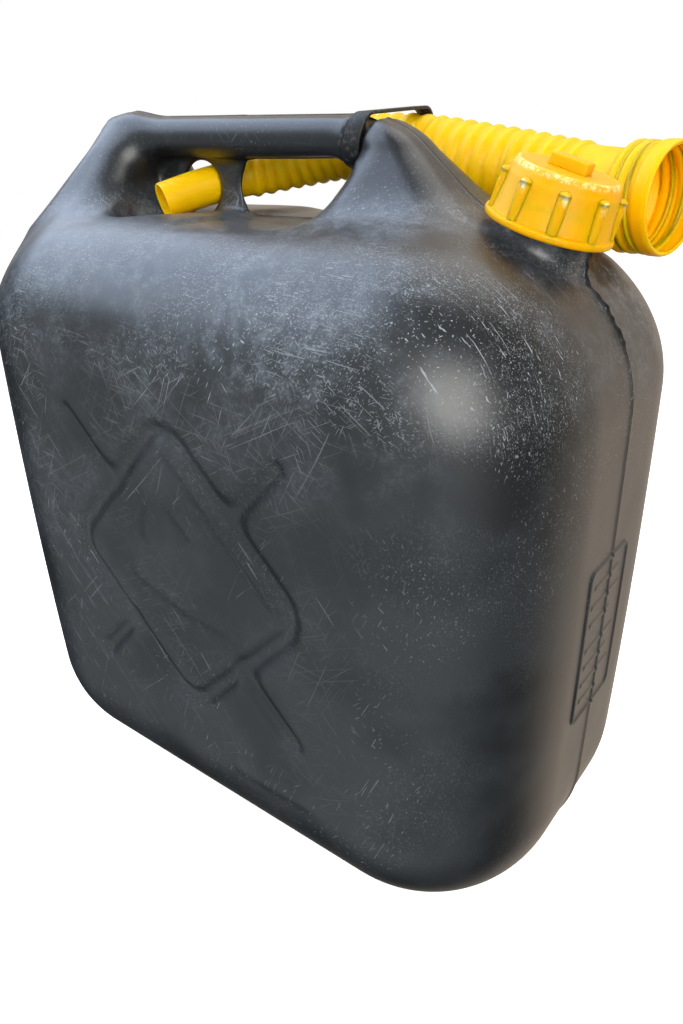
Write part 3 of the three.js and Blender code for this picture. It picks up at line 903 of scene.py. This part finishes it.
def yellow_polyethylene(name, plastic, worn, wear):
    """Moulded yellow polyethylene: saturated and waxy, and light passes a little way into it."""
    material, tree, shader, place = new_material(name)
    tone = step_between(tree, noise(tree, place, 0.03, 2.0), 0.3, 0.7)
    deep = blend_colour(tree, combine(tree, "MULTIPLY", tone, 0.35), linear(plastic),
                        linear("#F2AE00"))
    if wear:
        own = add_node(tree, "ShaderNodeMapping", [
            ("Vector", place), ("Location", tuple(float(c) * MM for c in NECK_FOOT)),
            ("Rotation", (0.0, NECK_TILT, 0.0))], vector_type="TEXTURE").outputs[0]
        axes = add_node(tree, "ShaderNodeSeparateXYZ", [(0, own)]).outputs
        squares = [add_node(tree, "ShaderNodeMath", [(0, axes[k]), (1, axes[k])],
                            operation="MULTIPLY").outputs[0] for k in (0, 1)]
        out = add_node(tree, "ShaderNodeMath", [
            (0, add_node(tree, "ShaderNodeMath", [(0, squares[0]), (1, squares[1])],
                         operation="ADD").outputs[0]), (1, 0.5)], operation="POWER").outputs[0]
        ribs = combine(tree, "MULTIPLY", step_between(tree, out, 0.0258, 0.0266),
                       step_between(tree, axes["Z"], 0.0125, 0.0165))
        rim = combine(tree, "MULTIPLY", step_between(tree, out, 0.0196, 0.0212),
                      step_between(tree, axes["Z"], 0.0205, 0.0222))
        chafed = combine(tree, "MAXIMUM", ribs, combine(tree, "MULTIPLY", rim, 0.7))
        broken = step_between(tree, noise(tree, place, 0.0022, 5.0, 0.75), 0.44, 0.60)
        chafed = combine(tree, "MULTIPLY", chafed, broken)
        deep = blend_colour(tree, chafed, deep, linear(worn))
        spots = step_between(tree, noise(tree, place, 0.0035, 6.0, 0.8), 0.63, 0.70)
        dirt = combine(tree, "MULTIPLY", spots, combine(tree, "MAXIMUM", ribs, rim))
        deep = blend_colour(tree, combine(tree, "MULTIPLY", dirt, 0.8), deep, linear("#6B4A12"))
    tree.links.new(deep, shader.inputs["Base Color"])
    shader.inputs["Roughness"].default_value = 0.42
    shader.inputs["Specular IOR Level"].default_value = 0.16
    shader.inputs["Subsurface Weight"].default_value = 0.75
    shader.inputs["Subsurface Radius"].default_value = (1.0, 0.60, 0.02)
    shader.inputs["Subsurface Scale"].default_value = 0.006
    # A 3 mm sink and flow waviness, and a fine 0.5 mm tool texture.
    flow = add_node(tree, "ShaderNodeBump", [
        ("Height", noise(tree, place, 0.006, 2.0)), ("Strength", 0.15), ("Distance", 0.0004)])
    tool = add_node(tree, "ShaderNodeBump", [
        ("Height", noise(tree, place, 0.0008, 2.0)), ("Strength", 0.12), ("Distance", 0.0001),
        ("Normal", flow.outputs[0])])
    tree.links.new(tool.outputs[0], shader.inputs["Normal"])
    return material


def black_rubber(sizes):
    """Black EPDM rubber: dull, a little chalky where it has been rubbed."""
    material, tree, shader, place = new_material("EPDM rubber, moulded")
    rubbed = step_between(tree, noise(tree, place, 0.003, 5.0, 0.7), 0.50, 0.68)
    tint = blend_colour(tree, combine(tree, "MULTIPLY", rubbed, 0.5), linear(sizes.rubber),
                        linear(sizes.scuffed))
    tree.links.new(tint, shader.inputs["Base Color"])
    shader.inputs["Roughness"].default_value = 0.58
    bump = add_node(tree, "ShaderNodeBump", [
        ("Height", noise(tree, place, 0.001, 3.0)), ("Strength", 0.2), ("Distance", 0.0002)])
    tree.links.new(bump.outputs[0], shader.inputs["Normal"])
    return material


def painted_floor(code):
    """Matt white paint on a smooth floor, with barely any tone in it."""
    material, tree, shader, place = new_material("Matt paint, pale")
    soft = step_between(tree, noise(tree, place, 0.5, 2.0), 0.3, 0.7)
    tint = blend_colour(tree, soft, linear(code), linear("#EFEFEE"))
    tree.links.new(tint, shader.inputs["Base Color"])
    shader.inputs["Roughness"].default_value = 0.8
    shader.inputs["Emission Color"].default_value = linear(code)
    shader.inputs["Emission Strength"].default_value = 0.8
    return material


# ---- Operators ------------------------------------------------------------------------


class CAN_OT_shell(bpy.types.Operator):
    """Builds the can's shell with its grip, hump, web, grooves and parting line"""

    bl_idname = "fuel_can.shell"
    bl_label = "Can shell"

    def execute(self, context):
        sizes = context.scene.can_sizes
        shape = CanShape(sizes)
        xs = marks((-188, -128, 3.4), (-128, 110, 2.6), (110, 188, 2.7))
        side = marks((1.7, 70, 2.5), (70, 112, 3.3))
        ys = np.concatenate([-side[::-1], [-0.55, 0.55], side])
        zs = marks((-3, 60, 3.8), (60, 300, 2.7), (300, 409, 2.4))
        points, faces = net_surface(shape.field, xs, ys, zs)
        plastic = blown_polyethylene(sizes)
        shell = mesh_object("can_shell", points, faces, plastic)
        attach(shell, "can")
        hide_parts("can_body")
        self.neck(context, plastic)
        self.plate(shape, plastic)
        return {"FINISHED"}

    def neck(self, context, plastic):
        """The neck above the shoulder, with its lip and its outside thread."""
        outline = [
            (NECK_BORE, -5), (NECK_RADIUS - 0.1, -5), (NECK_RADIUS, 12.6),
            *rounded_corner((20.0, 13.5), 1.0, 0, 90), *rounded_corner((19.0, 13.8), 0.7, 90, 180),
        ]
        tube = mesh_object("neck_tube", *lathe(outline, 96, on_neck), plastic)
        turn_outwards(tube)
        bead = thread("neck_thread", on_neck, NECK_RADIUS, *THREAD, 0.0, 1.4, plastic, bead_tree())
        neck = joined("can_neck", tube, bead)
        sharpen(neck)
        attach(neck, "can")

    def plate(self, shape, plastic):
        """A blank raised frame on the narrow end face, let into the shell."""
        ys, zs = np.linspace(-28, 24, 79), np.linspace(122, 214, 139)
        y, z = np.meshgrid(ys, zs, indexing="ij")
        flat = np.stack([np.full(y.shape, 183.0), y, z], -1).reshape(-1, 3)
        on_face = flat.copy()
        for _ in range(4):
            on_face[:, 0] -= shape.field(on_face)
        out = round_box(y + 2, z - 168, 24.5, 44, 6).ravel()
        frame_rise = 0.9 * np.exp(-((out + 1.8) / 0.9) ** 2)
        bars = 0
        for level, reach, lean in ((200, 15, 0), (190, 17, 0), (180, 12, 4), (166, 17, 0),
                                   (156, 14, 2), (146, 17, 0), (136, 10, 6)):
            past = np.maximum(round_box(y + 2 + lean, z - level, reach, 0.9, 0.8).ravel(), 0)
            bars = bars + 0.45 * np.exp(-(past / 0.5) ** 2)
        rise = 0.12 + frame_rise + bars - 1.0 * ease(-0.6, 1.6, out)
        upper, under = on_face.copy(), on_face.copy()
        upper[:, 0] += rise
        under[:, 0] -= 1.4
        rows, columns = y.shape
        number = np.arange(rows * columns).reshape(rows, columns)
        quads = np.stack([number[:-1, :-1], number[1:, :-1], number[1:, 1:], number[:-1, 1:]], -1)
        quads = quads.reshape(-1, 4)
        rim = np.concatenate([number[:, 0], number[-1, 1:], number[-2::-1, -1],
                              number[0, -2:0:-1]])
        after = np.roll(rim, -1)
        below = rows * columns
        walls = np.stack([rim, rim + below, after + below, after], -1)
        faces = np.concatenate([quads, quads[:, ::-1] + below, walls])
        plate = mesh_object("can_blank_plate", np.concatenate([upper, under]), faces, plastic)
        turn_outwards(plate)
        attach(plate, "can")


class CAN_OT_cap(bpy.types.Operator):
    """Builds the screw cap with its ribs, tool bar and thread"""

    bl_idname = "fuel_can.cap"
    bl_label = "Screw cap"

    def execute(self, context):
        sizes = context.scene.cap_sizes
        plastic = yellow_polyethylene("Injection-moulded HDPE, yellow", sizes.plastic,
                                      sizes.worn, True)
        flange, foot, top = (v / MM for v in (sizes.flange, sizes.foot_radius, sizes.top_radius))
        height, shoulder, crown = (v / MM for v in (sizes.height, sizes.shoulder, sizes.crown))
        outline = [
            (23.0, -0.5), *rounded_corner((flange - 1.2, 0.7), 1.2, -90, 0),
            *rounded_corner((flange - 1.2, 1.5), 1.2, 0, 80), (foot + 0.6, 2.7), (foot + 0.1, 3.2),
            (top + 0.1, shoulder - 1.2), (top - 0.3, shoulder), (top - 1.0, shoulder + 0.9),
            (crown + 0.5, height - 0.8), (crown, height - 0.25), (crown - 0.7, height),
            (crown - 2.0, height - 0.1), (0, height - 0.2),
            (0, 16.7), (22.0, 16.7), (CAP_BORE, 15.8), (CAP_BORE, 0.0),
        ]
        body = mesh_object("cap_body", *lathe(outline, 144, on_neck), plastic)
        turn_outwards(body)
        holder = mesh_object("cap_ribs", [(0, 0, 0)], [], plastic)
        ribs = run_tree(holder, cap_rib_tree(), {
            "Count": sizes.ribs, "Circle": top * MM + 0.0006, "Rib": sizes.rib_radius,
            "Height": (shoulder - 2.6) * MM, "Base": 0.0014, "Lean": 0.03,
            "Turn": math.radians(16), "Material": plastic})
        # Half a turn round from the neck's bead, so it lies between that one's turns.
        bead = thread("cap_thread", on_neck, CAP_BORE, *THREAD, math.pi, sizes.thread / MM,
                      plastic, bead_tree())
        cap = joined("screw_cap_moulding", body, ribs, bead, self.tool_bar(height, plastic))
        sharpen(cap, 50)
        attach(cap, "cap")
        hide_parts("screw_cap")
        return {"FINISHED"}

    def tool_bar(self, height, plastic):
        """The raised bar across the top that a coin or tool turns."""
        bar = bmesh.new()
        bmesh.ops.create_cube(bar, size=1.0)
        bmesh.ops.scale(bar, vec=Vector(CAP_BAR), verts=bar.verts)
        bmesh.ops.translate(bar, vec=Vector((0, 0, height + 1.4)), verts=bar.verts)
        bmesh.ops.bevel(bar, geom=bar.edges[:], offset=0.9, segments=4, profile=0.5,
                        affect="EDGES")
        points = [on_neck(*v.co) for v in bar.verts]
        faces = [[v.index for v in f.verts] for f in bar.faces]
        bar.free()
        return mesh_object("cap_bar", points, faces, plastic)


class CAN_OT_spout(bpy.types.Operator):
    """Builds the bellows spout in two lengths, cut between the spout's two soft places"""

    bl_idname = "fuel_can.spout"
    bl_label = "Pouring spout"

    def execute(self, context):
        sizes = context.scene.spout_sizes
        plastic = yellow_polyethylene("Blow-moulded LDPE, yellow", sizes.plastic,
                                      sizes.plastic, False)
        tree = ridged_tube_tree()
        back = self.length_of("spout_front_length", sizes, tree, plastic, 0, SPOUT_CUT)
        spout_point(BEND_BACK[0])
        spout_point(BEND_BACK[1])
        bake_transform(back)
        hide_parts("spout_nozzle", "spout_bellows_front", "spout_bellows_bend_back")
        mouth = self.length_of("spout_mouth_length", sizes, tree, plastic, SPOUT_CUT, SPOUT_LENGTH)
        spout_point(BEND_UP[0])
        spout_point(BEND_UP[1])
        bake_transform(mouth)
        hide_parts("spout_bellows_middle", "spout_bellows_bend_up", "spout_collar",
                    "spout_gasket")
        return {"FINISHED"}

    def outer_radius(self, at, sizes):
        """The tube's radius without its bellows ridges: the line's own, then the collar's."""
        plain = np.interp(at, SPOUT_AT, SPOUT_POINTS[:, 3])
        collar = sizes.collar_radius / MM
        start = SPOUT_LENGTH - COLLAR_LENGTH
        bands = ((4.6, 2.3, 1.7), (9.8, 2.3, 1.6), (13.8, 1.3, 1.2))
        ridges = sum(high * np.exp(-np.abs((at - start - middle) / wide) ** 2.4)
                     for middle, wide, high in bands)
        banded = collar - 1.7 + ridges + 1.7 * ease(start + 15.4, start + 18.2, at)
        lip = np.sqrt(np.clip((SPOUT_LENGTH - at) / 2.2, 0.03, 1))
        banded = banded - 1.0 * (1 - lip)
        mixed = plain + (banded - plain) * ease(start - 1.5, start + 3.5, at)
        tip = 0.5 * (1 - np.sqrt(np.clip(at / 0.8, 0.05, 1)))
        return mixed - tip

    def length_of(self, name, sizes, tree, plastic, first, last):
        """One closed length of the spout's wall between two distances from the tip."""
        steps = int((last - first) / 0.9)
        at = np.linspace(first, last, steps + 1)
        if last == SPOUT_LENGTH:
            at = np.unique(np.concatenate([at, last - np.array([0.1, 0.3, 0.6])]))
        if first == 0:
            at = np.unique(np.concatenate([at, [0.08, 0.25, 0.5]]))
        points = np.stack([np.interp(at, SPOUT_AT, SPOUT_POINTS[:, k]) for k in range(3)], 1)
        curve = curve_object(name, points, self.outer_radius(at, sizes) * MM)
        tube = run_tree(curve, tree, {
            "Pitch": sizes.pitch, "Ridge": sizes.ridge, "Phase": first * MM,
            "First": (NOZZLE_END - first) * MM,
            "Last": (PLAIN_START - first) * MM,
            "Sides": sizes.sides, "Material": plastic})
        turn_outwards(tube)
        wall = tube.modifiers.new("Wall", "SOLIDIFY")
        wall.thickness = sizes.wall
        wall.offset = -1
        tube = apply_modifiers(tube)
        if last == SPOUT_LENGTH:
            inner = thread("mouth_thread", self.in_mouth, 23.1, 5.0, 2.2, 6.0, 0.0, 1.25,
                           plastic, bead_tree())
            tube = joined(name, tube, inner)
        sharpen(tube, 60)
        return tube

    @staticmethod
    def in_mouth(x, y, z):
        """A point in the collar, z from its start towards the mouth."""
        share = (SPOUT_LENGTH - COLLAR_LENGTH + z) / SPOUT_LENGTH
        row = np.clip(share * (len(SPOUT_AT) - 1), 1, len(SPOUT_AT) - 2)
        rows = np.arange(len(SPOUT_AT))
        here = np.array([np.interp(row, rows, SPOUT_POINTS[:, k]) for k in range(3)])
        i = int(row)
        forward = SPOUT_POINTS[i + 1, :3] - SPOUT_POINTS[i - 1, :3]
        forward /= np.linalg.norm(forward)
        side = np.cross([0, 0, 1], forward)
        side /= np.linalg.norm(side)
        return here + x * side + y * np.cross(forward, side)


class CAN_OT_rubber(bpy.types.Operator):
    """Builds the strap and gives the cap's gasket its rubber"""

    bl_idname = "fuel_can.rubber"
    bl_label = "Strap and gasket"

    def execute(self, context):
        sizes = context.scene.strap_sizes
        rubber = black_rubber(sizes)
        path = self.loop(sizes.thick / MM / 2 + 0.05)
        half, thick = sizes.width / MM / 2, sizes.thick / MM / 2
        corner = 0.55
        section = [
            *rounded_corner((half - corner, thick - corner), corner, 0, 90),
            *rounded_corner((corner - half, thick - corner), corner, 90, 180),
            *rounded_corner((corner - half, corner - thick), corner, 180, 270),
            *rounded_corner((half - corner, corner - thick), corner, 270, 360),
        ]
        across = np.array([math.cos(STRAP_YAW), math.sin(STRAP_YAW), 0.0])
        behind = np.array([-math.sin(STRAP_YAW), math.cos(STRAP_YAW), 0.0])
        centre = np.array([STRAP_X, 0.0, STRAP_LEVEL])
        ahead = np.roll(path, -1, axis=0) - np.roll(path, 1, axis=0)
        ahead /= np.linalg.norm(ahead, axis=1, keepdims=True)
        points = []
        for (along, up), (run, rise) in zip(path, ahead):
            spot = centre + along * behind + np.array([0, 0, up])
            spot[0] += strap_middle(spot[2]) - STRAP_X
            outward = rise * behind - np.array([0, 0, run])
            points += [spot + a * across + b * outward for a, b in section]
        rows, round_ = len(path), len(section)
        faces = [
            (i * round_ + k, i * round_ + (k + 1) % round_,
             (i + 1) % rows * round_ + (k + 1) % round_, (i + 1) % rows * round_ + k)
            for i in range(rows) for k in range(round_)
        ]
        strap = mesh_object("rubber_strap", points, faces, rubber)
        turn_outwards(strap)
        sharpen(strap, 50)
        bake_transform(strap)
        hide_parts("spout_strap")
        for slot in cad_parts["cap_gasket"].material_slots:
            slot.material = rubber
        return {"FINISHED"}

    @staticmethod
    def loop(room):
        """The strap's middle line, stretched round the grip and the spout, in its own plane."""
        angles = np.linspace(0, TURN, 97)[:-1]
        grip = np.stack([
            np.clip(GRIP_HALF_WIDTH * 1.5 * np.cos(angles), -4.0, 4.0)
            + (GRIP_ROUND + room) * np.cos(angles),
            np.clip(GRIP_HALF_DEPTH * 1.5 * np.sin(angles), -0.5, 0.5)
            + (GRIP_ROUND + room) * np.sin(angles)], 1)
        spout_y, spout_z, radius = STRAP_ROUND_SPOUT
        spout = np.array([spout_y, spout_z - STRAP_LEVEL]) + (radius + room) * np.stack(
            [np.cos(angles), np.sin(angles)], 1)
        cloud = sorted(map(tuple, np.concatenate([grip, spout])))
        hull = []
        for chain in (cloud, cloud[::-1]):
            side = []
            for p in chain:
                while len(side) > 1:
                    (ax, ay), (bx, by) = side[-2], side[-1]
                    if (bx - ax) * (p[1] - ay) - (by - ay) * (p[0] - ax) > 0:
                        break
                    side.pop()
                side.append(p)
            hull += side[:-1]
        ring = np.array([*hull, hull[0]])
        gaps = np.concatenate([[0], np.cumsum(np.linalg.norm(np.diff(ring, axis=0), axis=1))])
        even = np.linspace(0, gaps[-1], 161)[:-1]
        return np.stack([np.interp(even, gaps, ring[:, k]) for k in range(2)], 1)


class CAN_OT_studio(bpy.types.Operator):
    """Builds the pale floor, the soft lights and the camera"""

    bl_idname = "fuel_can.studio"
    bl_label = "Studio"

    def execute(self, context):
        sizes = context.scene.studio_sizes
        half = 4000
        corners = [(-half, -half, 0), (half, -half, 0), (half, half, 0), (-half, half, 0)]
        floor = mesh_object("studio_floor", corners, [(0, 1, 2, 3)], painted_floor(sizes.floor))
        floor.visible_glossy = floor.visible_diffuse = False
        self.world(context, sizes)
        middle = (0.0, 0.0, 0.3)
        self.light("Upper left", (-0.85, -0.15, 1.35), middle, 1.5, sizes.key, "#D4E5FF")
        self.light("Overhead", (0.15, 0.45, 1.5), middle, 0.9, sizes.key * 0.20, "#FFFFFF")
        self.light("Front", (1.3, -1.25, 1.0), middle, 1.2, sizes.key * 1.2, "#FFFDF8")
        self.light("Low right", (1.15, -1.15, 0.32), middle, 0.55, sizes.key * 0.12, "#FFFFFF")
        self.camera(sizes)
        context.scene.view_settings.view_transform = "Standard"
        return {"FINISHED"}

    @staticmethod
    def world(context, sizes):
        """Soft light from the front and, warmer, from behind, and nearly none from the left."""
        world = bpy.data.worlds.new("Studio")
        world.use_nodes = True
        tree = world.node_tree
        tree.nodes.clear()
        way = add_node(tree, "ShaderNodeTexCoord").outputs["Generated"]
        axes = add_node(tree, "ShaderNodeSeparateXYZ", [(0, way)]).outputs
        flank = add_node(tree, "ShaderNodeMath", [(0, axes["Y"])], operation="ABSOLUTE").outputs[0]
        glow = blend_colour(tree, step_between(tree, axes["Y"], -0.3, 0.5),
                            linear("#C2C8CC"), linear("#E8D6C2"))
        tint = blend_colour(tree, step_between(tree, flank, 0.12, 0.62), linear("#14181C"), glow)
        soft = add_node(tree, "ShaderNodeBackground", [("Color", tint), ("Strength", sizes.sky)])
        plain = add_node(tree, "ShaderNodeBackground", [("Color", linear("#FFFFFF"))])
        seen = add_node(tree, "ShaderNodeLightPath").outputs["Is Camera Ray"]
        both = add_node(tree, "ShaderNodeMixShader", [
            (0, seen), (1, soft.outputs[0]), (2, plain.outputs[0])])
        add_node(tree, "ShaderNodeOutputWorld", [("Surface", both.outputs[0])])
        context.scene.world = world

    @staticmethod
    def light(name, place, target, side, power, tint):
        """One square soft light that faces a target and isn't seen itself."""
        data = bpy.data.lights.new(name, "AREA")
        data.shape = "SQUARE"
        data.size = side
        data.energy = power
        data.color = linear(tint)[:3]
        lamp = bpy.data.objects.new(name, data)
        lamp.visible_camera = False
        lamp.location = place
        lamp.rotation_euler = (Vector(target) - Vector(place)).to_track_quat("-Z", "Y").to_euler()
        bpy.context.scene.collection.objects.link(lamp)

    @staticmethod
    def camera(sizes):
        """A wide lens close to the can, above its neck end, tipped down and rolled a little."""
        pitch, roll, yaw = CAMERA_PITCH, CAMERA_ROLL, CAMERA_YAW
        heading = Vector((-math.sin(yaw), math.cos(yaw), 0))
        forward = heading * math.cos(pitch) - Vector((0, 0, math.sin(pitch)))
        right = forward.cross(Vector((0, 0, 1))).normalized()
        down = forward.cross(right)
        across = right * math.cos(roll) + down * math.sin(roll)
        below = down * math.cos(roll) - right * math.sin(roll)
        data = bpy.data.cameras.new("Camera")
        data.lens = sizes.lens
        data.sensor_width = 36
        data.clip_start = 0.02
        eye = bpy.data.objects.new("Camera", data)
        eye.matrix_world = Matrix.Translation(CAMERA_PLACE) @ Matrix(
            (across, -below, -forward)).transposed().to_4x4()
        bpy.context.scene.collection.objects.link(eye)
        bpy.context.scene.camera = eye


class CAN_PT_panel(bpy.types.Panel):
    """Lists the can's sizes and the operators that build it"""

    bl_label = "Fuel can"
    bl_idname = "CAN_PT_panel"
    bl_space_type = "VIEW_3D"
    bl_region_type = "UI"
    bl_category = "Fuel can"

    def draw(self, context):
        for group, operator in STEPS:
            box = self.layout.box()
            values = getattr(context.scene, group)
            for name in type(values).__annotations__:
                box.prop(values, name)
            box.operator(operator)


# Each property group's name on the scene, with the operator that reads it.
STEPS = (
    ("can_sizes", "fuel_can.shell"),
    ("cap_sizes", "fuel_can.cap"),
    ("spout_sizes", "fuel_can.spout"),
    ("strap_sizes", "fuel_can.rubber"),
    ("studio_sizes", "fuel_can.studio"),
)
GROUPS = (CanSizes, CapSizes, SpoutSizes, StrapSizes, StudioSizes)
CLASSES = (*GROUPS, CAN_OT_shell, CAN_OT_cap, CAN_OT_spout, CAN_OT_rubber, CAN_OT_studio,
           CAN_PT_panel)


def register():
    """Registers the classes and puts the property groups on the scene."""
    for entry in CLASSES:
        bpy.utils.register_class(entry)
    for (name, _), group in zip(STEPS, GROUPS):
        setattr(bpy.types.Scene, name, PointerProperty(type=group))


def unregister():
    """Takes the property groups and the classes away again."""
    for name, _ in STEPS:
        delattr(bpy.types.Scene, name)
    for entry in reversed(CLASSES):
        bpy.utils.unregister_class(entry)


def main():
    """Builds everything in order."""
    register()
    bpy.ops.fuel_can.shell()
    bpy.ops.fuel_can.cap()
    bpy.ops.fuel_can.spout()
    bpy.ops.fuel_can.rubber()
    bpy.ops.fuel_can.studio()


if __name__ == "__main__":
    main()
